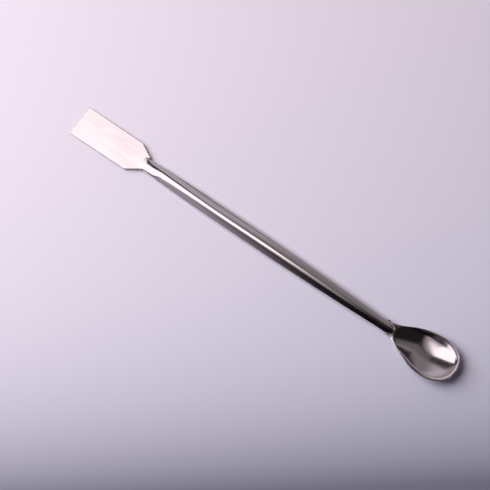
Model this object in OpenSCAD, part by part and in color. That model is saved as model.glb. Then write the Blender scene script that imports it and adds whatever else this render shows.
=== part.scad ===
// Double-ended laboratory spatula: a flat blade, a flat-oval handle and a spoon,
// forged and pressed from one stainless steel bar. It lies at rest on a bench, Z up.
// Lengths are in millimetres and angles in degrees.

/* [Whole tool] */
// Length from the blade's tip to the spoon's tip
overall_length = 200; // [170:1:240]

/* [Blade] */
// Length of the blade's parallel part, from its tip to its shoulders
blade_length = 30; // [20:0.5:36]
// Width of the blade at its tip
blade_tip_width = 14.9; // [11:0.1:22]
// Width of the blade at its shoulders
blade_heel_width = 14.4; // [12:0.1:22]
// Thickness of the blade
blade_thickness = 1.0; // [0.8:0.1:1.4]
// Angle by which the blade is bent down from the handle's axis
blade_droop = 1.0; // [0.6:0.1:3]
// Radius of the blade's two tip corners
tip_corner_radius = 0.5; // [0.2:0.1:2]
// Length of the two slanted shoulders, along the handle
shoulder_run = 6.0; // [4:0.1:10]
// Width that each slanted shoulder takes off the blade
shoulder_rise = 3.9; // [2.5:0.1:4.4]
// Radius that rounds the corner where each shoulder starts
shoulder_radius = 0.8; // [0.3:0.1:2]

/* [Blade neck] */
// Width of the flat strip that the blade leaves on one side of the handle's middle
neck_width = 2.3; // [1.6:0.1:2.4]
// Thickness of that strip where it runs out into the handle
neck_thickness = 1.1; // [0.9:0.1:1.4]
// Distance from the end of the shoulders to where the strip has run out
neck_run_out = 8; // [5:0.5:14]
// Radius of the fillet in the notch behind the other shoulder
notch_fillet = 0.7; // [0.3:0.1:1]

/* [Handle] */
// Largest width of the handle
handle_width = 7.8; // [6.4:0.1:10]
// Largest thickness of the handle
handle_thickness = 3.8; // [3:0.1:4.4]
// Width of the handle at the blade's neck
handle_blade_end_width = 5.8; // [5.2:0.1:6.4]
// Width of the handle at the spoon's neck
handle_spoon_end_width = 5.1; // [4.6:0.1:6]
// Thickness of the handle at the spoon's neck
handle_spoon_end_thickness = 2.7; // [2.2:0.1:3.2]
// Place of the largest width and thickness, measured from the blade's tip
handle_belly_place = 95; // [85:1:110]
// Thickness of the blunt edge along each side of the handle
handle_edge_thickness = 0.5; // [0.3:0.1:0.8]
// Length of the handle's rounded end over the spoon's neck
spoon_nose_length = 3.0; // [1.5:0.1:4]

/* [Spoon] */
// Length from the handle's rounded end to the spoon's tip
spoon_length = 31; // [26:0.2:38]
// Width of the spoon across its rim
spoon_width = 20; // [14:0.5:28]
// Length of the spoon's rounded front, from its widest place to its tip
spoon_front_length = 12.4; // [9:0.2:15]
// Squareness of the spoon's front outline: 2 is an ellipse
spoon_squareness = 2.3; // [1.9:0.1:2.8]
// Length of the spoon's slender back, from its widest place to where its neck is narrowest
spoon_back_length = 25.4; // [20:0.2:34]
// Width of the spoon's neck at its narrowest
spoon_neck_width = 4.4; // [3.8:0.1:5]
// Depth of the hollow below the rim
spoon_depth = 3.4; // [2.6:0.1:5]
// Distance from the spoon's tip to the deepest place of its hollow
spoon_deepest = 18; // [14:0.5:21]
// Fullness of the hollow: 2 is a parabola, and more has a flatter floor
spoon_fullness = 2.6; // [1.8:0.1:3.2]
// Thickness of the spoon's sheet
spoon_wall = 0.9; // [0.6:0.1:1.2]
// Height of the sheet's middle at the spoon's neck, above the handle's axis
spoon_seat = -0.2; // [-0.4:0.1:0.2]
// Angle by which the rim rises towards the spoon's tip
spoon_rise = 4.5; // [0:0.5:8]
// Length of the flat neck between the handle's end and the start of the hollow
spoon_neck_flat = 0.5; // [0:0.1:2]

/* [Hidden] */
$fn = 64;

// Stations along the handle's axis, from the blade's tip at 0.
heel_x = blade_length + shoulder_run;
round_x = heel_x + neck_run_out;
nose_x = overall_length - spoon_length;
nose_start_x = nose_x - spoon_nose_length;
hollow_start_x = nose_x + spoon_neck_flat;
widest_x = overall_length - spoon_front_length;
deepest_x = overall_length - spoon_deepest;

// The blade and its neck. The neck ends inside the handle.
neck_near_y = -neck_width;
neck_far_y = 0.7;
heel_near_y = min(-blade_heel_width / 2 + shoulder_rise, neck_near_y - 0.2);
heel_far_y = max(blade_heel_width / 2 - shoulder_rise, neck_far_y + 0.8);
neck_end_x = round_x + 2;
notch_run = 0.8;
heel_near_blend = 4;
heel_far_corner = 0.3;
blade_reach = 2 * max(blade_tip_width, blade_heel_width);

// The handle. Its root is inside the blade, and its crown comes out of the blade's flat face.
crown_x = heel_x + 0.8;
handle_root_x = heel_x - 2.6;
handle_root_half_width = 2.0;
handle_root_flare = 0.34;
edge_half = handle_edge_thickness / 2;
width_power = 2.4;
crown_power = 2.2;
blade_side_steps = 16;
spoon_side_steps = 12;
root_crowding = 1.3;
nose_steps = 7;
nose_end_angle = 84;
handle_across = 12;
handle_last = blade_side_steps + spoon_side_steps + nose_steps;

// The spoon. Its root is inside the handle, which it leaves as it widens.
root_x = nose_start_x - 5;
root_half_width = 1.1;
root_flare = 0.48;
rim_tilt = atan(2 * spoon_depth * spoon_fullness / spoon_width);
rim_lap = spoon_wall / 2 * sin(rim_tilt);
spoon_half_width = spoon_width / 2 - rim_lap;
back_power = 1.12;
keel_half_width = handle_spoon_end_width * 0.58;
keel_cover = 0.12;
keel_drop = spoon_seat - spoon_wall / 2 + handle_spoon_end_thickness / 2 + keel_cover;
keel_fade = 9;
tip_angle = 86;
back_steps = 18;
front_steps = 13;
across = 14;
last = back_steps + front_steps;
probe = 0.001;

function smooth(t) = let (u = min(1, max(0, t))) (1 - cos(180 * u)) / 2;
function unit(v) = v / norm(v);

// A rounded corner at b between the lines from a and to c, as an arc of points.
function corner(a, b, c, r, steps = 6) =
    let (u = unit(a - b), w = unit(c - b))
    let (half = acos(u * w) / 2)
    let (centre = b + unit(u + w) * r / sin(half))
    let (from = b + u * r / tan(half) - centre, to = b + w * r / tan(half) - centre)
    let (start = atan2(from.y, from.x), turn = atan2(to.y, to.x) - start)
    let (sweep = turn > 180 ? turn - 360 : turn < -180 ? turn + 360 : turn)
    [for (i = [0:steps]) let (a = start + sweep * i / steps) centre + r * [cos(a), sin(a)]];

// Height of the blade's middle plane at x, in the handle's frame. The handle's root follows it.
function blade_z(x) = -max(0, round_x - x) * tan(blade_droop);

// Half width and half thickness of the handle at x. They are largest at the belly.
function belly_share(x, from_x) = max(0, (handle_belly_place - x) / (handle_belly_place - from_x));
function spoon_share(x) = max(0, (x - handle_belly_place) / (nose_start_x - handle_belly_place));
function handle_half_width(x) =
    let (near = pow(belly_share(x, crown_x), width_power), far = pow(spoon_share(x), 2))
    let (barrel = handle_width / 2
        - (handle_width - handle_blade_end_width) / 2 * min(1, near)
        - (handle_width - handle_spoon_end_width) / 2 * far)
    min(barrel, handle_root_half_width + handle_root_flare * (x - handle_root_x));
function handle_half_thickness(x) =
    handle_thickness / 2
        - (handle_thickness - blade_thickness) / 2 * pow(belly_share(x, crown_x), crown_power)
        - (handle_thickness - handle_spoon_end_thickness) / 2 * pow(spoon_share(x), 2);

// Station i along the handle, as its place and the share of the full section that is left there.
function handle_station(i) =
    i <= blade_side_steps
        ? let (q = 1 - i / blade_side_steps)
            [handle_belly_place - (handle_belly_place - handle_root_x) * pow(q, root_crowding), 1]
    : i <= blade_side_steps + spoon_side_steps
        ? let (q = (i - blade_side_steps) / spoon_side_steps)
            [handle_belly_place + (nose_start_x - handle_belly_place) * q, 1]
        : let (a = (i - blade_side_steps - spoon_side_steps) / nose_steps * nose_end_angle)
            [nose_start_x + spoon_nose_length * sin(a), cos(a)];

// One ring of points round the handle: two shallow arches that meet in a blunt edge on each side.
function handle_section(i) =
    let (at = handle_station(i), half = handle_half_width(at.x) * at.y)
    let (edge = edge_half * at.y, crown = handle_half_thickness(at.x) * at.y - edge)
    [for (side = [1, -1]) for (k = [0:handle_across])
        let (u = side * sin(90 * (2 * k / handle_across - 1)))
        [at.x, half * u, blade_z(at.x) + side * (edge + crown * (1 - u * u))]];
handle_rings = [for (i = [0:handle_last]) handle_section(i)];

// Half width of the spoon's outline and its place along the handle, for s from 0 at the root
// through 1 at the widest place to 2 at the tip.
function back_x(s) = root_x + (widest_x - root_x) * s;
function back_half(x) =
    let (v = pow(min(1, (widest_x - x) / spoon_back_length), back_power))
    let (slender = spoon_neck_width / 2 - rim_lap)
    min(slender + (spoon_half_width - slender) * (1 + cos(180 * v)) / 2,
        root_half_width + root_flare * (x - root_x));
function spoon_x(s) =
    s < 1
        ? back_x(s)
        : widest_x + (spoon_front_length - rim_lap) * pow(sin((s - 1) * 90), 2 / spoon_squareness);
function spoon_half(s) =
    s < 1 ? back_half(back_x(s)) : spoon_half_width * pow(cos((s - 1) * 90), 2 / spoon_squareness);

// Share of the full depth that the hollow has at x.
function hollow(x) =
    x < deepest_x
        ? smooth((x - hollow_start_x) / (deepest_x - hollow_start_x))
        : 1 - pow((x - deepest_x) / (spoon_deepest - rim_lap), spoon_fullness);

// A point of the sheet's middle surface at s, with u from -1 at one rim to 1 at the other.
function sheet(s, u) =
    let (x = spoon_x(s))
    let (rim_z = spoon_seat + max(0, x - hollow_start_x) * tan(spoon_rise))
    [x, spoon_half(s) * u, rim_z - spoon_depth * hollow(x) * (1 - pow(abs(u), spoon_fullness))];
function sheet_normal(s, u) =
    unit(cross(sheet(s + probe, u) - sheet(s - probe, u), sheet(s, u + probe) - sheet(s, u - probe)));

// The keel under the spoon's neck, where the handle's underside runs out into the sheet.
function keel(x, y) =
    let (side = y / keel_half_width)
    let (share = x < nose_start_x
        ? (x - root_x) / (nose_start_x - root_x)
        : 1 - smooth((x - nose_start_x) / keel_fade))
    keel_drop * share * max(0, 1 - side * side);

function upper(s, u) = sheet(s, u) + sheet_normal(s, u) * spoon_wall / 2;
function lower(s, u) =
    let (p = sheet(s, u) - sheet_normal(s, u) * spoon_wall / 2)
    p - [0, 0, keel(p.x, p.y)];

// One ring of points round the spoon's sheet at s: over the top, then back underneath.
function station(i) = i < back_steps ? i / back_steps : 1 + (i - back_steps) / front_steps * tip_angle / 90;
function spoon_ring(s) = concat(
    [for (k = [0:across]) upper(s, 2 * k / across - 1)],
    [for (k = [across:-1:0]) lower(s, 2 * k / across - 1)]);
spoon_rings = [for (i = [0:last]) spoon_ring(station(i))];

// How the tool lies: on the blade's tip and the lowest point that the line from there meets.
tip_low = [0, blade_z(0) - blade_thickness / 2];
points = [for (r = concat(handle_rings, spoon_rings)) each r];
rest_slopes = [for (p = points) (p.z - tip_low.y) / p.x];
rest_angle = atan(min(rest_slopes));
ends_x = [for (p = points) p.x * cos(rest_angle) + p.z * sin(rest_angle)];
start_x = min(tip_low.y * sin(rest_angle), (tip_low.y + blade_thickness) * sin(rest_angle));
end_z = -tip_low.y * cos(rest_angle);

// A closed skin through rings of points, each ring in a plane across the handle.
module loft(rings, first_centre, last_centre) {
    count = len(rings[0]);
    top = len(rings) - 1;
    first_id = count * len(rings);
    walls = [for (i = [0:top - 1]) for (k = [0:count - 1])
        let (a = i * count + k, b = i * count + (k + 1) % count)
        each [[a, b, b + count], [a, b + count, a + count]]];
    first_cap = [for (k = [0:count - 1]) [first_id, (k + 1) % count, k]];
    last_cap = [for (k = [0:count - 1]) [first_id + 1, top * count + k, top * count + (k + 1) % count]];
    polyhedron(
        points = concat([for (r = rings) each r], [first_centre, last_centre]),
        faces = concat(walls, first_cap, last_cap));
}

// Plan outline of the blade and its neck. One shoulder runs smoothly into the neck's side,
// and the other ends in a step that leaves a small notch.
module blade_plan() {
    tip_near = [0, -blade_tip_width / 2];
    tip_far = [0, blade_tip_width / 2];
    heel_near = [blade_length, -blade_heel_width / 2];
    heel_far = [blade_length, blade_heel_width / 2];
    end_near = [heel_x + (neck_near_y - heel_near_y) * shoulder_run / shoulder_rise, neck_near_y];
    end_far = [heel_x, heel_far_y];
    notch = [heel_x + notch_run, neck_far_y];
    neck_near = [neck_end_x, neck_near_y];
    neck_far = [neck_end_x, neck_far_y];
    polygon(concat(
        corner(tip_far, tip_near, heel_near, tip_corner_radius),
        corner(tip_near, heel_near, end_near, shoulder_radius),
        corner(heel_near, end_near, neck_near, heel_near_blend),
        [neck_near, neck_far],
        corner(neck_far, notch, end_far, notch_fillet),
        corner(notch, end_far, heel_far, heel_far_corner),
        corner(end_far, heel_far, tip_far, shoulder_radius),
        corner(heel_far, tip_far, tip_near, tip_corner_radius)));
}

// Side view of the blade and its neck: flat and thin, then a slight wedge into the handle.
module blade_side() {
    half = blade_thickness / 2;
    neck_half = neck_thickness / 2;
    before_x = -1;
    polygon([
        [before_x, blade_z(before_x) + half],
        [blade_length, blade_z(blade_length) + half],
        [neck_end_x, neck_half],
        [neck_end_x, -neck_half],
        [blade_length, blade_z(blade_length) - half],
        [before_x, blade_z(before_x) - half]]);
}

module blade() {
    intersection() {
        translate([0, 0, -blade_reach / 2])
            linear_extrude(height = blade_reach)
                blade_plan();
        rotate([90, 0, 0])
            linear_extrude(height = blade_reach, center = true)
                blade_side();
    }
}

// The flat-oval handle, from its root inside the blade to its rounded end over the spoon.
module handle() {
    root = handle_station(0).x;
    loft(handle_rings, [root, 0, blade_z(root)], [handle_station(handle_last).x, 0, 0]);
}

// The spoon: a dished sheet of even thickness, with the keel that joins it to the handle's underside.
module spoon() {
    loft(spoon_rings, sheet(station(0), 0), sheet(station(last), 0));
}

module spatula() {
    translate([-(start_x + max(ends_x)) / 2, 0, end_z])
        rotate([0, rest_angle, 0])
            color("silver") {
                blade();
                handle();
                spoon();
            }
}

spatula();
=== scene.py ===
"""Double-ended laboratory spatula of polished steel: flat blade, flat-oval handle and dished spoon.

The whole tool is one closed skin, worked out as height fields over its plan outline, so that the
handle, its rounded ends, the blade's neck and the spoon flow into each other as forged metal does.
"""

import math

import bpy
import numpy as np
from bpy.props import FloatProperty, FloatVectorProperty, PointerProperty
from bpy.types import Operator, Panel, PropertyGroup
from mathutils import Matrix, Vector


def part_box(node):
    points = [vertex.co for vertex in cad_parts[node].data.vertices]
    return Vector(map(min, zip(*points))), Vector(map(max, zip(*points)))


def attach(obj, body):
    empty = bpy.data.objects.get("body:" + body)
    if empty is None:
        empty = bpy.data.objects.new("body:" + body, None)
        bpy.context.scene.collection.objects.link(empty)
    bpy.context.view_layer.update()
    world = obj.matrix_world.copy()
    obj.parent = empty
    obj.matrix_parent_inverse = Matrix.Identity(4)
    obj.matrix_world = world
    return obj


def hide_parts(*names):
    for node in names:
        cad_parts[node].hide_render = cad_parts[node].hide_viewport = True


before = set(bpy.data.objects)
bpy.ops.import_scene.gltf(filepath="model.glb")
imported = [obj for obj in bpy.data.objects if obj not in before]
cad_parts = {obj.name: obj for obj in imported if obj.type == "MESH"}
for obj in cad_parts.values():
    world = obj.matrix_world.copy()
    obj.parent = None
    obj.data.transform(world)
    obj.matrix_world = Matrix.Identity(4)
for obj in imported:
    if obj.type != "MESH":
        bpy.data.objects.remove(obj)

bl_info = {
    "name": "Laboratory spatula",
    "version": (1, 0, 0),
    "blender": (4, 5, 0),
    "location": "View3D > Sidebar > Spatula",
    "description": "Makes a double-ended steel laboratory spatula and a studio table for it",
    "category": "Add Mesh",
}

NODE = "spatula"

# the stage: the view's middle on the table (across the view, away), how far the table reaches, the lit
# panel's span along and across the tool, and the key lamp's place and size
LOOK_AT = (-0.00780, -0.00040)
TABLE_REACH = 4.0
PANEL_SPAN = ((-0.55, 0.06), (-1.6, 1.6))
KEY_PLACE, KEY_SIZE = (-0.62, -0.13, 0.64), (0.7, 0.85)

# powers by which the handle's width and height fall from its belly: towards the blade, towards the spoon
WIDTH_FALL, HEIGHT_FALL = (2.4, 2), (3.0, 2)
# where the handle's twist comes in, and where it changes to the handle's roll: start past the heel, and run
TWIST_IN, TWIST_OVER = (0, 0.010), (0.008, 0.034)
# the handle's root inside the blade: half width and how fast it opens, then how deep it starts under the
# blade's faces and the run over which it comes out of them
ROOT_HALF, ROOT_SLOPE = 0.0020, 0.34
ROOT_SUNK, ROOT_RUN = 0.0006, 0.002
# the spoon's flare: half width at the sheet's root, share of the sheet's thickness added to it for the
# rounded edge, slope, and the power that draws the half wave behind it to the neck
FLARE_HALF, FLARE_LAP, FLARE_SLOPE, FLARE_DRAW = 0.0011, 0.3, 0.48, 1.12
# the fillet in plan where the flare passes the handle's side, and its reach
SWELL, SWELL_REACH = 0.0003, 0.0012
# where the spoon's roll comes in, and where it changes to the tip's: start in the hollow, and run
ROLL_IN, ROLL_OVER = (-0.0035, 0.012), (0.008, 0.011)
# the keel under the spoon's neck: the run over which it flattens, the shares of height it loses and of width
# it gains, then where past the handle's end it sinks into the sheet, over what run and how deep
KEEL_RUN, KEEL_LOSS, KEEL_GAIN = 0.009, 0.55, 0.5
KEEL_SINK, KEEL_SUNK = (0.005, 0.010), 0.008
# edge radii: of the handle, of the blade, of its neck, of the spoon's rim, and of that rim beside the neck
BAR_ROUND, BLADE_ROUND, NECK_ROUND, RIM_ROUND, RIM_NECK_ROUND = 0.0001, 0.00014, 0.00044, 0.0002, 0.0005
# powers of those roundings for handle, blade and rim, where 2 is a circle and more is squarer
BAR_SQUARE, BLADE_SQUARE, RIM_SQUARE = 2.2, 2.6, 2.1
# share of its thickness that the spoon's sheet has at the rim, and how far inside it is full
RIM_SHARE, RIM_RUN = 0.8, 0.002
# fillets where the blade and the spoon's sheet meet the handle, and under the spoon's neck
BLADE_FILLET, SPOON_FILLET, KEEL_FILLET = 0.0004, 0.0005, 0.0014
# a body's height where it has ended, and how fast it falls outside its own edge
FAR_BELOW, FALL = -0.02, 4.0


def length(name, description, default, low, high):
    """A distance property, in metres."""
    return FloatProperty(
        name=name, description=description, default=default, min=low, max=high, unit="LENGTH", precision=5
    )


def angle(name, description, degrees, low, high):
    """An angle property, given in degrees and kept in radians."""
    return FloatProperty(
        name=name,
        description=description,
        default=math.radians(degrees),
        min=math.radians(low),
        max=math.radians(high),
        unit="ROTATION",
        subtype="ANGLE",
    )


def share(name, description, default, low=0.0, high=1.0):
    """A plain number property."""
    return FloatProperty(name=name, description=description, default=default, min=low, max=high)


def colour(name, description, default):
    """A linear colour property."""
    return FloatVectorProperty(
        name=name, description=description, default=default, size=3, min=0, max=1, subtype="COLOR"
    )


class SpatulaSizes(PropertyGroup):
    """Sizes of the forged steel tool, measured along its handle from the blade's tip."""

    overall: length("Length", "From the blade's tip to the spoon's tip", 0.1998, 0.15, 0.25)
    blade_length: length("Blade length", "From the blade's tip to its shoulders", 0.030, 0.02, 0.036)
    blade_tip: length("Blade tip width", "Width of the blade at its tip", 0.0149, 0.011, 0.022)
    blade_heel: length("Blade heel width", "Width of the blade at its shoulders", 0.0144, 0.012, 0.022)
    blade_thick: length("Blade thickness", "Thickness of the blade", 0.0010, 0.0006, 0.0016)
    blade_droop: angle("Blade droop", "Angle by which the blade is bent down", 1.0, 0.5, 3)
    tip_corner: length("Tip corner", "Radius of the blade's tip corners", 0.0005, 0.0002, 0.002)
    shoulder_run: length("Shoulder length", "Length of the slanted shoulders", 0.0060, 0.004, 0.010)
    shoulder_rise: length("Shoulder step", "Width each shoulder takes off", 0.0039, 0.0025, 0.0044)
    shoulder_round: length("Shoulder corner", "Radius where each shoulder starts", 0.0008, 0.0003, 0.002)
    neck_near: length("Neck strip", "Width of the strip beside the handle's middle", 0.0027, 0.002, 0.003)
    neck_far: length("Neck far side", "Width of that strip beyond the middle", 0.0007, 0, 0.002)
    neck_thick: length("Neck thickness", "Thickness of the strip where it runs out", 0.0011, 0.0008, 0.0016)
    neck_run: length("Neck run-out", "From the shoulders' end to the full handle", 0.008, 0.005, 0.014)
    notch_round: length("Notch fillet", "Radius in the notch behind one shoulder", 0.0007, 0.0003, 0.0009)
    bar_width: length("Handle width", "Largest width of the handle", 0.0080, 0.0064, 0.010)
    bar_thick: length("Handle thickness", "Largest thickness of the handle", 0.0038, 0.003, 0.0044)
    bar_edge: length("Handle edge", "Thickness of the handle's blunt side edges", 0.0005, 0.0003, 0.001)
    blade_end: length("Blade end width", "Handle's width at the blade's neck", 0.0058, 0.005, 0.0066)
    spoon_end: length("Spoon end width", "Handle's width at the spoon's neck", 0.0051, 0.0044, 0.006)
    spoon_end_thick: length("Spoon end thickness", "Handle's thickness there", 0.0027, 0.002, 0.0034)
    belly_place: length("Belly place", "Place of the largest width", 0.095, 0.085, 0.12)
    bar_roll: angle("Handle roll", "Turn of the handle's middle, down on the far side", 5.0, -3, 8)
    neck_twist: angle("Handle twist", "Turn of the handle the other way beside the blade", 3.5, -3, 8)
    spoon_nose: length("Spoon nose", "Length of the handle's end on the spoon's neck", 0.0030, 0.0008, 0.004)
    spoon_length: length("Spoon length", "From the handle's end to the spoon's tip", 0.031, 0.026, 0.038)
    spoon_width: length("Spoon width", "Width across the rim", 0.0197, 0.014, 0.028)
    spoon_front: length("Spoon front", "From the widest place to the tip", 0.0124, 0.009, 0.015)
    spoon_square: share("Spoon squareness", "2 is an ellipse", 2.25, 1.9, 2.8)
    spoon_back: length("Spoon back", "From the widest place to the narrowest", 0.0256, 0.02, 0.034)
    spoon_neck: length("Spoon neck width", "Width of the neck at its narrowest", 0.0042, 0.0034, 0.0056)
    spoon_depth: length("Hollow floor", "Depth of the hollow's floor below its wall", 0.0017, 0.001, 0.005)
    spoon_middle: share("Floor middle", "1 is deepest halfway, less is nearer the neck", 1.10, 0.5, 1.5)
    spoon_ends: share("Floor ends", "Power of the floor's rise at both ends", 1.0, 0.7, 2.5)
    spoon_full: share("Floor fullness", "2 is a parabola across, more is flatter", 2.1, 1.8, 5)
    wall_depth: length("Hollow wall", "Depth of the wall round the inside of the rim", 0.0012, 0.0003, 0.003)
    wall_power: share("Wall steepness", "Power of the wall's rise to the rim", 11, 2, 12)
    wall_run: length("Wall run-in", "From the hollow's start to the wall's full depth", 0.011, 0.004, 0.015)
    neck_roll: angle("Neck roll", "Turn of the hollow's first part, down on the far side", 8.5, -3, 12)
    tip_roll: angle("Spoon roll", "Turn of the rest of the spoon about the handle", 4.2, -3, 6)
    spoon_wall: length("Spoon thickness", "Thickness of the spoon's sheet", 0.0009, 0.0006, 0.0013)
    spoon_seat: length("Spoon seat", "Height of the sheet's middle above the axis", -0.0002, -0.0006, 0.0003)
    spoon_rise: angle("Spoon rise", "Angle of the rim towards the tip", 4.8, 0, 8)
    spoon_flat: length("Spoon neck flat", "From the handle's end to the hollow", 0.0005, 0, 0.003)


class SteelFinish(PropertyGroup):
    """Look of the polished stainless steel."""

    base: colour("Steel", "Colour of the polished metal", (0.72, 0.70, 0.685))
    worn: colour("Rubbed steel", "Colour in the rubbed and smudged places", (0.65, 0.63, 0.61))
    polish: share("Roughness", "Roughness where the polish is best", 0.075)
    rubbed: share("Rubbed roughness", "Roughness in the rubbed places", 0.15)


class StudioSettings(PropertyGroup):
    """The table, the soft light and the camera's place over the tool."""

    table: colour("Table", "Colour of the table on the lamp's side", (0.807, 0.731, 0.824))
    # painted shade: the table's colour made darker and cooler away from the lamp's side
    table_shaded_side: colour("Table's side", "Colour of the table away from the lamp", (0.682, 0.689, 0.823))
    # painted shade: a dark colour that the table turns towards the viewer
    table_painted_near_shade: colour("Table's near edge", "Colour of the table close to the viewer", (0.109, 0.107, 0.168))
    near_tint: colour("Near side", "Colour of the room's light on the viewer's side", (0.95, 0.83, 1))
    far_tint: colour("Far side", "Colour of the room's light beyond the tool", (1, 0.85, 0.95))
    panel_tint: colour("Lit panel", "Colour of the lit panel over the blade's end", (1, 0.87, 0.93))
    panel_level: share("Panel level", "Brightness of the lit panel", 1.6, 0, 5)
    panel_height: length("Panel height", "Height of the lit panel over the table", 0.573, 0.3, 2)
    key_tint: colour("Key lamp", "Colour of the key lamp's light", (1, 0.99, 1))
    key_power: share("Key power", "Power of the key lamp", 10.1, 0, 500)
    tilt: angle("Camera tilt", "Angle of the view from straight down", 14, 0, 80)
    turn: angle("Camera turn", "Turn of the tool in the view", 34.88, -180, 180)
    view_angle: angle("View angle", "Width of the view", 20, 5, 60)
    distance: length("Camera distance", "From the camera to the table", 0.6095, 0.2, 3)


# ---------------------------------------------------------------- shape helpers


def ramp(x, start, run):
    """Half a cosine wave over the places x: 0 up to the start, and 1 from the end of its run on."""
    return (1 - np.cos(np.pi * np.clip((x - start) / run, 0, 1))) / 2


def blend_max(a, b, width):
    """The larger of two heights, with a fillet of about that width where they are equal."""
    reach = np.clip(1 - np.abs(a - b) / width, 0, 1)
    return np.maximum(a, b) + reach**2 * width / 4


def edge_round(depth, radius, square):
    """Share of full thickness at a depth inside an edge: a superellipse quarter of that radius and power."""
    q = np.clip(depth / radius, 0, 1)
    return (1 - (1 - q) ** square) ** (1 / square)


def round_corner(a, b, c, radius, steps=12):
    """Points of the arc that rounds the corner b between the lines from a and to c."""
    a, b, c = (np.asarray(v, float) for v in (a, b, c))
    u, w = (a - b) / np.linalg.norm(a - b), (c - b) / np.linalg.norm(c - b)
    half = math.acos(float(u @ w)) / 2
    middle = (u + w) / np.linalg.norm(u + w)
    centre = b + middle * radius / math.sin(half)
    first, final = b + u * radius / math.tan(half) - centre, b + w * radius / math.tan(half) - centre
    start = math.atan2(first[1], first[0])
    sweep = (math.atan2(final[1], final[0]) - start + math.pi) % (2 * math.pi) - math.pi
    turn = start + sweep * np.linspace(0, 1, steps + 1)
    return centre + radius * np.stack([np.cos(turn), np.sin(turn)], 1)


def dense_line(line, step):
    """A line of points in plan, set out again at even steps along it."""
    run = np.concatenate([[0], np.cumsum(np.hypot(*np.diff(line, axis=0).T))])
    places = np.arange(0, run[-1], step)
    return np.stack([np.interp(places, run, line[:, 0]), np.interp(places, run, line[:, 1])], 1)


def depth_inside(x, y, loop):
    """Distance from each point of a grid to a dense open or closed line of points in plan."""
    near = np.full(x.shape, np.inf)
    for part in np.array_split(loop, max(1, len(loop) // 150)):
        gap = np.hypot(x[..., None] - part[:, 0], y[..., None] - part[:, 1]).min(-1)
        near = np.minimum(near, gap)
    return near


def stretches(*spans):
    """Stations from the first place on: each (end, step) goes on to its end in steps of that size."""
    places = [np.array([spans[0]])]
    for end, step in spans[1:]:
        start = places[-1][-1]
        count = max(1, int(round((end - start) / step)))
        places.append(start + (end - start) * np.arange(1, count + 1) / count)
    return np.concatenate(places)


# ---------------------------------------------------------------- the tool's own curves


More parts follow.
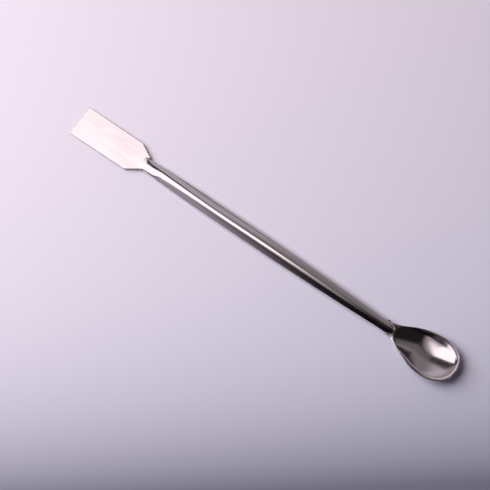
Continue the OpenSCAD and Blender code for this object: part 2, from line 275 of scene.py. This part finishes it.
class Curves:
    """Outlines and heights of the tool in its handle's frame: x along it, y across it, z up.

    Its places along x are, from the blade's end: the handle's sunk root, the shoulders' heel, the crown
    where the handle is as thick as the blade, the round where the blade's wedge has ended, the neck
    strip's end, the root of the spoon's sheet, the start of the handle's nose, its end, the start of the
    hollow and the spoon's widest place.
    """

    def __init__(self, s):
        self.s = s
        self.heel = s.blade_length + s.shoulder_run
        self.crown = self.heel + 0.0008
        self.round = self.heel + s.neck_run
        self.neck_end = self.round + 0.0045
        self.bar_root = self.heel - 0.0026
        self.nose = s.overall - s.spoon_length
        self.nose_start = self.nose - s.spoon_nose
        self.hollow_start = self.nose + s.spoon_flat
        self.widest = s.overall - s.spoon_front
        self.root = self.nose_start - 0.005
        self.near_side, self.far_side = self.blade_sides()

    def blade_sides(self):
        """The blade's two sides as points: tip corner, slanted shoulder, then the neck's side."""
        s = self.s
        tip_y, heel_y = s.blade_tip / 2, s.blade_heel / 2
        near_y = min(-heel_y + s.shoulder_rise, -s.neck_near - 0.0002)
        far_y = max(heel_y - s.shoulder_rise, s.neck_far + 0.0008)
        slope_run = (-s.neck_near - near_y) * s.shoulder_run / s.shoulder_rise
        tips = [(0.0, -tip_y), (0.0, tip_y)]
        heels = [(s.blade_length, -heel_y), (s.blade_length, heel_y)]
        end_near, end_far = (self.heel + slope_run, -s.neck_near), (self.heel + 0.0006, far_y + 0.0005)
        notch = (self.heel + 0.0010, s.neck_far)
        near = np.concatenate([
            round_corner(tips[1], tips[0], heels[0], s.tip_corner),
            round_corner(tips[0], heels[0], end_near, s.shoulder_round),
            round_corner(heels[0], end_near, (self.neck_end, -s.neck_near), 0.004),
            [(self.neck_end - 0.0060, -s.neck_near), (self.neck_end - 0.0015, -0.0014)],
            [(self.neck_end, -0.0009)],
        ])
        far = np.concatenate([
            round_corner(tips[0], tips[1], heels[1], s.tip_corner),
            round_corner(tips[1], heels[1], end_far, s.shoulder_round),
            round_corner(heels[1], end_far, notch, 0.0003),
            round_corner(end_far, notch, (self.neck_end, s.neck_far), s.notch_round),
            [(self.neck_end, s.neck_far)],
        ])
        return near, far

    def blade_line(self):
        """The blade's whole edge as a dense line in plan: neck, near side, tip, far side, neck."""
        return dense_line(np.concatenate([self.near_side[::-1], self.far_side]), 0.00006)

    def spread(self, x, near_power, far_power):
        """Shares by which the handle has fallen from its belly: towards the blade, towards the spoon."""
        s = self.s
        near = np.clip((s.belly_place - x) / (s.belly_place - self.crown), 0, 2) ** near_power
        far = np.clip((x - s.belly_place) / (self.nose_start - s.belly_place), 0, 1) ** far_power
        return near, far

    def bar_width(self, x):
        """Half width of the handle: widest at its belly, and drawn in to its root inside the blade."""
        s = self.s
        near, far = self.spread(x, *WIDTH_FALL)
        fall = (s.bar_width - s.blade_end) * np.minimum(1, near) + (s.bar_width - s.spoon_end) * far
        root = ROOT_HALF + ROOT_SLOPE * np.maximum(0, x - self.bar_root)
        return np.minimum((s.bar_width - fall) / 2, root)

    def bar_height(self, x):
        """Half thickness of the handle along its middle."""
        s = self.s
        near, far = self.spread(x, *HEIGHT_FALL)
        fall = (s.bar_thick - s.blade_thick) * near + (s.bar_thick - s.spoon_end_thick) * far
        return (s.bar_thick - fall) / 2

    def roll(self, x):
        """Slope across the handle: twisted a little one way by the blade, then the other way."""
        first, middle = math.tan(self.s.neck_twist), math.tan(self.s.bar_roll)
        run = x - self.heel
        return (first + middle) * ramp(run, *TWIST_OVER) - first * ramp(run, *TWIST_IN)

    def nose_share(self, x):
        """Share of the handle's section that is left in its rounded end: an ellipse's quarter."""
        return np.sqrt(1 - np.clip((x - self.nose_start) / self.s.spoon_nose, 0, 1) ** 2)

    def spoon_half(self, x):
        """Half width of the spoon: a straight flare out of the handle, half a cosine wave to the
        widest place, then a superellipse to the tip. It meets the handle's side in a fillet."""
        s = self.s
        full, slender = s.spoon_width / 2, s.spoon_neck / 2
        v = np.clip((self.widest - x) / s.spoon_back, 0, 1) ** FLARE_DRAW
        back = slender + (full - slender) * (1 + np.cos(np.pi * v)) / 2
        flare = FLARE_HALF + FLARE_LAP * s.spoon_wall + FLARE_SLOPE * (x - self.root)
        back = np.minimum(back, flare)
        back = back + self.swell(x, back)
        q = np.clip((x - self.widest) / s.spoon_front, 0, 1)
        front = full * (1 - q**s.spoon_square) ** (1 / s.spoon_square)
        return np.where(x < self.widest, back, front)

    def swell(self, x, half):
        """What the fillet adds where the spoon's half width passes the handle's."""
        gap = np.abs(half - self.bar_width(np.minimum(x, self.nose_start)))
        return SWELL * np.clip(1 - gap / SWELL_REACH, 0, 1) ** 2

    def hollow(self, x):
        """Share of the floor's full depth at x: a power of half a sine wave from neck to tip."""
        s = self.s
        run = np.clip((x - self.hollow_start) / (s.overall - self.hollow_start), 1e-6, 1 - 1e-6)
        return np.sin(np.pi * run**s.spoon_middle) ** s.spoon_ends

    def blade_height(self, x):
        """Height of the blade's middle plane, which is bent down from the handle's axis."""
        return -np.maximum(0, self.round - x) * math.tan(self.s.blade_droop)

    def stations(self):
        """Places along the tool, close together wherever its section changes quickly."""
        s = self.s
        body = stretches(
            0.0, (0.0001, 0.00002), (0.0006, 0.00005), (0.002, 0.0005), (s.blade_length - 0.001, 0.003),
            (s.blade_length + 0.001, 0.0001), (self.heel - 0.0006, 0.0004), (self.heel + 0.002, 0.00005),
            (self.round, 0.0002), (self.round + 0.004, 0.0004), (self.root, 0.0012),
            (self.nose_start, 0.0002), (self.nose - 0.0004, 0.0001), (self.nose + 0.0003, 0.00003),
            (self.nose + 0.004, 0.00025), (self.widest, 0.0004),
        )
        turn = np.radians(np.concatenate([np.arange(2, 60, 2), np.arange(60, 90.1, 1)]))
        front = self.widest + s.spoon_front * np.sin(turn) ** (2 / s.spoon_square)
        return np.concatenate([body, np.minimum(front, s.overall)])


def plan_grid(c, x, across):
    """Grid over the plan outline: rows at x, columns from the near edge to the far edge.

    Columns are at even steps of angle, so that they crowd at the edges. Round the handle's end on
    the spoon they change to two spans: the handle, then the neck beside it.
    """
    s = c.s
    bar = np.where(x >= c.bar_root, c.bar_width(x) * c.nose_share(x), 0)
    on_blade, on_spoon = x <= c.neck_end, x >= c.root
    half = np.where(on_spoon, c.spoon_half(x), 0)
    bar = bar + np.where(on_spoon & (x < c.nose_start), c.swell(x, half), 0)
    blade_near = np.where(on_blade, np.interp(x, *c.near_side.T), 0)
    blade_far = np.where(on_blade, np.interp(x, *c.far_side.T), 0)
    near = np.minimum(np.minimum(blade_near, -bar), -half)
    far = np.maximum(np.maximum(blade_far, bar), half)
    centre, width = (near + far)[:, None] / 2, (far - near)[:, None] / 2

    v = np.linspace(-1, 1, across + 1)
    even = width * np.sin(np.pi / 2 * v)
    nose = np.minimum(s.spoon_end / 2, width * 0.98)
    split = 0.66  # share of the columns that the handle's span keeps
    on_bar = nose * np.sin(np.pi / 2 * np.clip(np.abs(v) / split, 0, 1))
    beside = (width - nose) * ramp(np.abs(v), split, 1 - split)
    two_spans = ramp(x, c.root + 0.001, 0.002) * (1 - ramp(x, c.nose + 0.001, 0.006))
    across_y = centre + even + two_spans[:, None] * (np.sign(v) * (on_bar + beside) - even)
    return np.repeat(x[:, None], across + 1, 1), across_y


def arched_bar(width, height, edge, y):
    """Height of a flat-oval bar over its middle: a blunt edge and a parabola arch on it."""
    u = np.abs(y) / np.maximum(width, 1e-9)
    blunt = edge * edge_round(width - np.abs(y), BAR_ROUND, BAR_SQUARE)
    return np.where(u < 1, blunt + (height - edge) * (1 - u**2), FALL * (width - np.abs(y)))


def handle_body(c, x, y):
    """Heights of the handle's upper side over its axis, with its sunk root and its rounded end."""
    left = c.nose_share(x)
    width = c.bar_width(x) * left
    half = np.where(x >= c.root, c.spoon_half(x), 0)
    width = width + np.where((x >= c.root) & (x < c.nose_start), c.swell(x, half), 0)
    # its root starts under the blade's faces and comes out of them
    sunk = ROOT_SUNK * (1 - ramp(x, c.bar_root, ROOT_RUN))
    height = arched_bar(width, c.bar_height(x) * left, c.s.bar_edge / 2 * left, y) - sunk
    return np.where((x >= c.bar_root) & (left > 0), height, FAR_BELOW)


def keel_body(c, x, y):
    """Depth of the handle's underside, which runs on under the spoon's neck and sinks into the sheet.

    It keeps the section of the handle's end, made wider and flatter by half a cosine wave, and its arch
    sinks into the sheet past the neck. Known fault: its two sides don't sink with the arch, and stand
    out as two teeth where the sheet rises above them, under the spoon's tip.
    """
    s = c.s
    flat = ramp(x, c.nose_start, KEEL_RUN)
    end = np.minimum(x, c.nose_start)
    height = c.bar_height(end) * (1 - KEEL_LOSS * flat) - KEEL_SUNK * ramp(x - c.nose, *KEEL_SINK)
    return arched_bar(c.bar_width(end) * (1 + KEEL_GAIN * flat), height, s.bar_edge / 2 * (1 - flat), y)


def blade_body(c, x, y):
    """Middle height and half thickness of the blade and its neck: flat, then a wedge to the handle."""
    s = c.s
    rows = x[:, 0] <= c.neck_end
    half = np.full(x.shape, FAR_BELOW)
    xs, ys = x[rows], y[rows]
    inside = np.minimum(ys - np.interp(xs, *c.near_side.T), np.interp(xs, *c.far_side.T) - ys)
    depth = depth_inside(xs, ys, c.blade_line())
    wedge = ramp(xs, s.blade_length, c.round - s.blade_length)
    thick = (s.blade_thick + (s.neck_thick - s.blade_thick) * wedge) / 2
    radius = BLADE_ROUND + (NECK_ROUND - BLADE_ROUND) * wedge
    rounded = thick * edge_round(depth, radius, BLADE_SQUARE)
    half[rows] = np.where(inside < -1e-9, FALL * inside, rounded)
    return c.blade_height(x), half


def spoon_body(c, x, y):
    """Middle height, its normal and the half thickness of the spoon's sheet.

    The middle is the rim's rising line, less the wall that runs round inside the rim, less the
    long floor. Each is a depth times 1 less a power of the share of the way from the middle line to
    the rim. The whole is rolled a little about the handle's axis, more so at the neck.
    """
    s = c.s

    def middle(px, py):
        half = np.maximum(c.spoon_half(px), 1e-6)
        run = px - c.hollow_start
        rim = s.spoon_seat + np.maximum(0, run) * math.tan(s.spoon_rise)
        # the roll comes in over the neck, and further on changes to the tip's
        roll = s.tip_roll + (s.neck_roll - s.tip_roll) * (1 - ramp(run, *ROLL_OVER))
        rim = rim - roll * py * ramp(run, *ROLL_IN)
        ahead = np.clip((px - c.widest) / s.spoon_front, 0, 1)
        q = np.clip(np.abs(py) / half, 0, 1.05)
        beside = np.where(px > c.widest, np.abs(py) / s.spoon_width * 2, q)
        around = (beside**s.spoon_square + ahead**s.spoon_square) ** (1 / s.spoon_square)
        wall = s.wall_depth * ramp(run, 0, s.wall_run) * (1 - np.minimum(around, 1.03) ** s.wall_power)
        return rim - wall - s.spoon_depth * c.hollow(px) * (1 - q**s.spoon_full)

    rows = x[:, 0] >= c.root
    xs, ys = x[rows], y[rows]
    step = 0.000004
    xs_in = np.minimum(xs, s.overall - 0.00002)
    slope_x = (middle(xs_in + step, ys) - middle(xs_in - step, ys)) / (2 * step)
    slope_y = (middle(xs_in, ys + step) - middle(xs_in, ys - step)) / (2 * step)
    normal = np.stack([-slope_x, -slope_y, np.ones(xs.shape)], -1)
    normal /= np.linalg.norm(normal, axis=-1, keepdims=True)

    line_x = xs[:, 0]
    half = c.spoon_half(line_x)
    edge = np.concatenate([np.stack([line_x, -half], 1), np.stack([line_x, half], 1)[::-1]])
    inside = c.spoon_half(xs) - np.abs(ys)
    depth = depth_inside(xs, ys, dense_line(edge, 0.00005)) / normal[..., 2]
    # the edge is rounder beside the neck, and the sheet thins a little towards it
    radius = RIM_NECK_ROUND + (RIM_ROUND - RIM_NECK_ROUND) * ramp(xs, c.hollow_start + 0.010, 0.008)
    thinned = RIM_SHARE + (1 - RIM_SHARE) * ramp(depth, 0, RIM_RUN)
    rounded = s.spoon_wall / 2 * edge_round(depth, radius, RIM_SQUARE) * thinned

    mid_z, half_t = np.zeros(x.shape), np.full(x.shape, FAR_BELOW)
    full_normal = np.zeros(x.shape + (3,))
    full_normal[..., 2] = 1
    mid_z[rows] = middle(xs, ys)
    half_t[rows] = np.where(inside < -1e-8, FALL * inside, rounded)
    full_normal[rows] = normal
    return mid_z, half_t, full_normal


def spatula_skin(s, across=64):
    """Vertices and faces of the whole tool as one closed skin, in its handle's frame.

    The upper and the lower side are two grids over the plan outline, joined along it. Each height
    is the largest, with a fillet, of three bodies: the blade with its neck, the flat-oval handle and
    the spoon's sheet, whose two sides stand off its middle along its normal.
    """
    c = Curves(s)
    x, y = plan_grid(c, c.stations(), across)
    bar, keel = handle_body(c, x, y), keel_body(c, x, y)
    bend = c.blade_height(x) - c.roll(x) * y
    blade_mid, blade_half = blade_body(c, x, y)
    spoon_mid, spoon_half, normal = spoon_body(c, x, y)

    offset = np.maximum(spoon_half, 0)[..., None] * normal
    rise = np.where(spoon_half > 0, offset[..., 2], spoon_half)
    on_spoon = (x > c.root).astype(float)
    # under the neck the fillet grows
    low_fillet = BLADE_FILLET + (KEEL_FILLET - BLADE_FILLET) * ramp(x, c.nose_start, 0.004)
    top = blend_max(bar + bend, blade_mid + blade_half, BLADE_FILLET)
    top = blend_max(top, spoon_mid + rise, SPOON_FILLET)
    # the keel takes over a little before the nose. Known fault: it lacks the handle's fillet in plan,
    # so the lower side rises past it, as a small ear on each side of the handle
    under = np.where(x < c.nose_start - 0.002, bar, keel)
    low = blend_max(under - bend, blade_half - blade_mid, BLADE_FILLET)
    low = -blend_max(low, rise - spoon_mid, low_fillet)
    shift = on_spoon[..., None] * offset[..., :2]
    upper = np.stack([x + shift[..., 0], y + shift[..., 1], top], -1)
    lower = np.stack([x - shift[..., 0], y - shift[..., 1], low], -1)

    # join the two sides along the outline, across the blade's tip and at the spoon's tip
    for edge in (np.s_[:, 0], np.s_[:, -1], np.s_[0, :], np.s_[-1, :]):
        seam = (upper[edge] + lower[edge]) / 2
        upper[edge] = lower[edge] = seam
    rows, columns = x.shape
    top_id = np.arange(rows * columns).reshape(rows, columns)
    low_id = top_id + rows * columns
    low_id[:, 0], low_id[:, -1], low_id[0] = top_id[:, 0], top_id[:, -1], top_id[0]
    top_id[-1] = low_id[-1] = top_id[-1, 0]
    points = np.concatenate([upper.reshape(-1, 3), lower.reshape(-1, 3)])

    def quads(ids):
        return np.stack([ids[:-1, :-1], ids[1:, :-1], ids[1:, 1:], ids[:-1, 1:]], -1).reshape(-1, 4)

    return points, np.concatenate([quads(top_id), quads(low_id)[:, ::-1]])


def lay_on_table(points, s, low_corner, high_corner):
    """Turns the tool until it rests on the blade's tip and the spoon's back, and centres it."""
    tip = points[points[:, 0] < 0.0006]
    tip = tip[tip[:, 2].argmin()]
    far = points[points[:, 0] > s.overall / 4]
    lean = math.atan(((far[:, 2] - tip[2]) / (far[:, 0] - tip[0])).min())
    x = points[:, 0] * math.cos(lean) + points[:, 2] * math.sin(lean)
    z = points[:, 2] * math.cos(lean) - points[:, 0] * math.sin(lean)
    laid = np.stack([x, points[:, 1], z], 1)
    middle = (laid.min(0) + laid.max(0)) / 2
    goal = (np.array(low_corner) + np.array(high_corner)) / 2
    laid[:, :2] += (goal - middle)[:2]
    laid[:, 2] += low_corner[2] - laid[:, 2].min()
    return laid


def new_piece(name, points, faces, material):
    """A smooth mesh object from arrays: unused points are dropped and double corners removed."""
    used, faces = np.unique(faces, return_inverse=True)
    faces = faces.reshape(-1, 4)
    corners = [tuple(dict.fromkeys(face)) for face in faces.tolist()]
    mesh = bpy.data.meshes.new(name)
    mesh.from_pydata(points[used].tolist(), [], [face for face in corners if len(face) > 2])
    mesh.polygons.foreach_set("use_smooth", np.ones(len(mesh.polygons), bool))
    mesh.materials.append(material)
    mesh.update()
    if mesh.validate():
        raise RuntimeError(name + " had faces that Blender had to mend")
    piece = bpy.data.objects.new(name, mesh)
    bpy.context.scene.collection.objects.link(piece)
    return piece


# ---------------------------------------------------------------- shader helpers


class Socket:
    """Wraps a shader socket, so that maths on values is written as ordinary expressions."""

    def __init__(self, tree, link):
        self.tree, self.link = tree, link

    def _maths(self, operation, *values):
        return self.tree.add("ShaderNodeMath", {"operation": operation}, values)

    def __add__(self, other):
        return self._maths("ADD", self, other)

    def __radd__(self, other):
        return self._maths("ADD", other, self)

    def __sub__(self, other):
        return self._maths("SUBTRACT", self, other)

    def __rsub__(self, other):
        return self._maths("SUBTRACT", other, self)

    def __mul__(self, other):
        return self._maths("MULTIPLY", self, other)

    def __rmul__(self, other):
        return self._maths("MULTIPLY", other, self)

    def __truediv__(self, other):
        return self._maths("DIVIDE", self, other)

    def __pow__(self, other):
        return self._maths("POWER", self, other)

    def clamped(self, high=1.0):
        return self.tree.add("ShaderNodeClamp", {}, {"Value": self, "Max": high})

    def between(self, low, high):
        """0 below low, 1 above high, and a smooth step between."""
        return self.tree.add(
            "ShaderNodeMapRange",
            {"interpolation_type": "SMOOTHSTEP"},
            {"Value": self, "From Min": low, "From Max": high},
        )


class Shader:
    """The node tree of a material or a world, with one method that adds any node."""

    def __init__(self, owner):
        self.owner = owner
        self.owner.use_nodes = True
        self.nodes, self.links = self.owner.node_tree.nodes, self.owner.node_tree.links
        self.nodes.clear()
        self.place = 0

    def add(self, kind, settings=None, values=None, out=0):
        """Adds a node: its settings first, then its sockets' values or links. Returns one output."""
        node = self.nodes.new(kind)
        node.location = (self.place * 180, 0)
        self.place += 1
        for name, setting in (settings or {}).items():
            setattr(node, name, setting)
        pairs = values.items() if isinstance(values, dict) else enumerate(values or ())
        for name, value in pairs:
            socket = node.inputs[name]
            if isinstance(value, Socket):
                self.links.new(value.link, socket)
            else:
                socket.default_value = value
        return Socket(self, node.outputs[out]) if node.outputs else None

    def axes(self, vector):
        """The three numbers of a vector."""
        return [self.add("ShaderNodeSeparateXYZ", {}, {"Vector": vector}, out=axis) for axis in range(3)]

    def mix(self, factor, first, second):
        """Mix of two colours."""
        return self.add("ShaderNodeMix", {"data_type": "RGBA"}, {0: factor, 6: first, 7: second}, out=2)

    def noise(self, scale, detail=2.0, rough=0.5, stretch=(1, 1, 1)):
        """Noise from 0 to 1 on the object's own place, stretched along its axes."""
        place = self.add("ShaderNodeTexCoord", out=3)
        mapped = self.add("ShaderNodeMapping", {}, {"Vector": place, "Scale": stretch})
        return self.add(
            "ShaderNodeTexNoise", {}, {"Vector": mapped, "Scale": scale, "Detail": detail, "Roughness": rough}
        )

    def finish(self, surface, output="ShaderNodeOutputMaterial"):
        self.add(output, {}, {"Surface": surface})
        return self.owner


def rgb(values):
    return (*values, 1.0)


def polished_steel(look):
    """Polished steel: soft forging waves, fine lengthwise rubbing marks, smudges of dull film."""
    shader = Shader(bpy.data.materials.new("polished_steel"))
    smudge = shader.noise(95, 3, 0.55, (0.35, 1, 1)).between(0.42, 0.72)
    streaks = shader.noise(1500, 3, 0.6, (0.03, 1, 1))
    grain = shader.noise(5200, 2, 0.5, (0.12, 1, 1))
    waves = shader.noise(70, 2, 0.4, (0.5, 1, 1))
    film = (smudge * 0.6 + streaks.between(0.5, 0.75) * 0.4).clamped()
    base = shader.mix(film * 0.7, rgb(look.base), rgb(look.worn))
    rough = look.polish + (look.rubbed - look.polish) * film + grain * 0.03
    fine = shader.add(
        "ShaderNodeBump", {}, {"Strength": 0.10, "Distance": 0.00002, "Height": streaks * 0.7 + grain * 0.3}
    )
    forged = shader.add(
        "ShaderNodeBump", {}, {"Strength": 0.25, "Distance": 0.0004, "Height": waves, "Normal": fine}
    )
    surface = shader.add("ShaderNodeBsdfPrincipled", {}, {
        "Base Color": base, "Metallic": 1.0, "Roughness": rough, "Normal": forged,
    })
    return shader.finish(surface)


def table_top(look):
    """Smooth pale board with a trace of grain.

    Its colour has painted shade: it turns darker and cooler across the view, away from the lamp's side,
    and a painted shade deepens it towards the viewer with a high power of the way from the board's far part.
    """
    side_slant, side_low, side_high = 3.1, -0.3, 0.5
    deep_start, deep_slant, deep_run, deep_power = 0.15, 0.033, 0.253, 8.66
    deep_share, deepest = 0.757, 0.85
    shader = Shader(bpy.data.materials.new("pale_board"))
    x, y, _ = shader.axes(shader.add("ShaderNodeTexCoord", out=3))
    right, away, _, _ = view_axes(look)
    across_view, away_view = x * right.x + y * right.y, x * away.x + y * away.y
    # painted shade: the board is mixed to a darker, cooler colour across the view, away from the lamp
    side = (across_view - away_view * side_slant).between(side_low, side_high)
    plain = shader.mix(side, rgb(look.table), rgb(look.table_shaded_side))
    # painted shade: the board darkens towards the viewer with a high power of the way from its far part
    way = (deep_start - away_view + across_view * deep_slant).clamped() / deep_run
    painted_near_shade = (way**deep_power * deep_share).clamped(deepest)
    base = shader.mix(painted_near_shade, plain, rgb(look.table_painted_near_shade))
    rough = 0.55 + shader.noise(900, 2, 0.5) * 0.1
    surface = shader.add("ShaderNodeBsdfPrincipled", {}, {"Base Color": base, "Roughness": rough})
    return shader.finish(surface)


def lit_panel(look):
    """A lit panel over the table, on its own x along the tool and y across it.

    The bright part's end towards the spoon is a parabola of y that fades out. Its far edge is a slanted
    line, and its edge on the viewer's side a straight one that opens out over the blade. Two faint
    parts lie beside it, on the viewer's side and beyond, and grow towards the blade's end. The further
    one fades again past it.
    """
    shader = Shader(bpy.data.materials.new("lit_panel"))
    x, y, _ = shader.axes(shader.add("ShaderNodeTexCoord", out=3))
    bow = y - 0.08
    edge = x + bow * bow * 2.4
    spoon_end = 0.76 * (1 - edge.between(-0.072, -0.012)) + 0.24 * (1 - x.between(-0.03, 0.05))
    far_edge = 1 - (y - x * 0.2).between(0.200, 0.216)
    near_edge = y.between(-0.135, -0.105)
    over_blade = (y - x * 2.2).between(0.25, 0.29)
    bright = spoon_end * far_edge * (near_edge + over_blade - near_edge * over_blade)
    near_part = (1 - near_edge) * (1 - x.between(-0.27, 0.0)) * (0.1 + 0.9 * y.between(-1.5, -0.75)) * 0.236
    far_part = y.between(0.29, 0.35) * (1 - x.between(-0.20, -0.09)) * x.between(-0.45, -0.35) * 0.20
    clear = shader.add("ShaderNodeBsdfTransparent")
    surface = clear
    for share_lit, tint in ((near_part + far_part, look.near_tint), (bright, look.panel_tint)):
        glow = shader.add("ShaderNodeEmission", {}, {"Color": rgb(tint), "Strength": look.panel_level})
        surface = shader.add("ShaderNodeMixShader", {}, {0: share_lit, 1: surface, 2: glow})
    return shader.finish(surface)


def studio_room(look):
    """The dim room round the table, worked out from the direction alone.

    back is how far a direction points to the blade's side, and lean how far across the tool for its
    height. The viewer's side is bright only far back. Beyond the panel comes a dark band, which is grey
    towards the spoon, and then a grey wall with one dark corner. Low down the room is lit all round,
    and most behind the blade.
    """
    shader = Shader(bpy.data.worlds.new("studio_room"))
    a, b, c = shader.axes(shader.add("ShaderNodeTexCoord", out=0))
    back = 0 - a
    height = c.between(-0.2, 1.0) + 0.05
    lean = b / height
    far_lean = (b + back * 0.3) / height

    far_back = back.between(0.33, 0.40) * c.between(0.35, 0.6) * 1.4
    near_side = (1 - lean.between(-0.26, -0.14)) * (0.003 + far_back)

    wall = far_lean.between(0.50, 0.60)
    grey = far_lean.between(0.34, 0.42) * (1 - back.between(0.20, 0.27)) * 0.12
    band = (far_lean.between(0.28, 0.34) * 0.012 + grey) * (1 - wall)
    overhead = lean.between(-0.2, -0.1) * 0.012
    corner = a.between(0.04, 0.12) * (1 - a.between(0.5, 0.6)) * c.between(0.22, 0.34)
    corner = 1 - 0.92 * corner * (1 - (c + a * 0.6).between(0.78, 0.86))
    far_side = wall * (0.22 + back.between(0.2, 0.35) * 0.10) * corner
    low = (1 - c.between(0.22, 0.34)) * (0.10 + back.between(0.4, 0.8) * 0.35)

    far_light = band + overhead + far_side + low
    lights = [
        shader.add("ShaderNodeBackground", {}, {"Color": rgb(tint), "Strength": level})
        for tint, level in ((look.near_tint, near_side + 0.002), (look.far_tint, far_light))
    ]
    return shader.finish(shader.add("ShaderNodeAddShader", {}, lights), "ShaderNodeOutputWorld")


# ---------------------------------------------------------------- studio


def view_axes(look):
    """The camera's right, up and forward directions, and the table's away direction, in the tool's frame.

    The table's own axes are the tool's turned by the camera's turn: right across the view, and away.
    """
    turn, tilt = look.turn, look.tilt
    right = Vector((math.cos(turn), math.sin(turn), 0))
    away = Vector((-math.sin(turn), math.cos(turn), 0))
    up = away * math.cos(tilt) + Vector((0, 0, math.sin(tilt)))
    forward = away * math.sin(tilt) - Vector((0, 0, math.cos(tilt)))
    return right, away, up, forward


def table_point(look, x, y, z=0.0):
    """A point given across, away and up from the middle of the view, in the tool's frame."""
    right, away, _, _ = view_axes(look)
    middle = right * LOOK_AT[0] + away * LOOK_AT[1]
    return middle + right * x + away * y + Vector((0, 0, z))


def area_lamp(name, place, aim, size, power, tint, turn):
    """A rectangular lamp at a place, shining towards another, with its width turned off the tool's x."""
    lamp = bpy.data.lights.new(name, "AREA")
    lamp.shape, lamp.size, lamp.size_y = "RECTANGLE", size[0], size[1]
    lamp.energy, lamp.color = power, tint
    holder = bpy.data.objects.new(name, lamp)
    back = (Vector(place) - Vector(aim)).normalized()
    side = Vector((math.cos(turn), math.sin(turn), 0))
    side = (side - back * side.dot(back)).normalized()
    axes = Matrix((side, back.cross(side), back)).transposed().to_4x4()
    holder.matrix_world = Matrix.Translation(place) @ axes
    bpy.context.scene.collection.objects.link(holder)
    return holder


def flat_board(name, corners, material):
    """An object of one flat face."""
    mesh = bpy.data.meshes.new(name)
    mesh.from_pydata(corners, [], [(0, 1, 2, 3)])
    mesh.materials.append(material)
    board = bpy.data.objects.new(name, mesh)
    bpy.context.scene.collection.objects.link(board)
    return board


class SPATULA_OT_steel_tool(Operator):
    """Make the spatula as one closed skin of polished steel"""

    bl_idname = "spatula.steel_tool"
    bl_label = "Steel spatula"

    def execute(self, context):
        sizes, look = context.scene.spatula_sizes, context.scene.spatula_steel
        points, faces = spatula_skin(sizes)
        low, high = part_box(NODE)
        points = lay_on_table(points, sizes, low, high)
        piece = new_piece("steel_spatula", points, faces, polished_steel(look))
        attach(piece, "root")
        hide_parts(NODE)
        return {"FINISHED"}


class SPATULA_OT_stage(Operator):
    """Make the table, the lit panel, the key lamp, the room and the camera"""

    bl_idname = "spatula.stage"
    bl_label = "Studio table"

    def execute(self, context):
        look = context.scene.spatula_studio
        right, away, up, forward = view_axes(look)

        reach = TABLE_REACH
        span = ((-reach, -reach), (reach, -reach), (reach, reach), (-reach, reach))
        table = flat_board("table", [table_point(look, x, y) for x, y in span], table_top(look))

        (x_low, x_high), (y_low, y_high) = PANEL_SPAN
        span = ((x_low, y_low), (x_low, y_high), (x_high, y_high), (x_high, y_low))
        panel = flat_board("panel", [(x, y, look.panel_height) for x, y in span], lit_panel(look))
        # the panel is there for the steel to show, and the key lamp to light the table
        panel.visible_camera = panel.visible_diffuse = panel.visible_shadow = False
        aim, turn = (0, 0, 0), math.radians(90)
        key = area_lamp("key", KEY_PLACE, aim, KEY_SIZE, look.key_power, look.key_tint, turn)
        key.visible_glossy = False
        context.scene.world = studio_room(look)

        camera = bpy.data.cameras.new("camera")
        camera.sensor_fit = "HORIZONTAL"
        camera.angle = look.view_angle
        camera.clip_start, camera.clip_end = 0.01, 20
        holder = bpy.data.objects.new("camera", camera)
        axes = Matrix((right, up, -forward)).transposed().to_4x4()
        holder.matrix_world = Matrix.Translation(table_point(look, 0, 0) - forward * look.distance) @ axes
        context.scene.collection.objects.link(holder)
        context.scene.camera = holder
        context.scene.view_settings.view_transform = "Standard"
        return {"FINISHED"}


class SPATULA_PT_panel(Panel):
    """Lists the tool's parts and its stage"""

    bl_label = "Laboratory spatula"
    bl_idname = "SPATULA_PT_panel"
    bl_space_type = "VIEW_3D"
    bl_region_type = "UI"
    bl_category = "Spatula"

    def draw(self, context):
        scene = context.scene
        for group in (scene.spatula_sizes, scene.spatula_steel, scene.spatula_studio):
            box = self.layout.box()
            for name in group.__annotations__:
                box.prop(group, name)
        self.layout.operator(SPATULA_OT_steel_tool.bl_idname)
        self.layout.operator(SPATULA_OT_stage.bl_idname)


CLASSES = (
    SpatulaSizes, SteelFinish, StudioSettings, SPATULA_OT_steel_tool, SPATULA_OT_stage, SPATULA_PT_panel,
)


def register():
    for cls in CLASSES:
        bpy.utils.register_class(cls)
    bpy.types.Scene.spatula_sizes = PointerProperty(type=SpatulaSizes)
    bpy.types.Scene.spatula_steel = PointerProperty(type=SteelFinish)
    bpy.types.Scene.spatula_studio = PointerProperty(type=StudioSettings)


def unregister():
    del bpy.types.Scene.spatula_studio
    del bpy.types.Scene.spatula_steel
    del bpy.types.Scene.spatula_sizes
    for cls in reversed(CLASSES):
        bpy.utils.unregister_class(cls)


def main():
    """Makes the stage and the tool."""
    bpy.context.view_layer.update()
    register()
    bpy.ops.spatula.stage()
    bpy.ops.spatula.steel_tool()


if __name__ == "__main__":
    main()
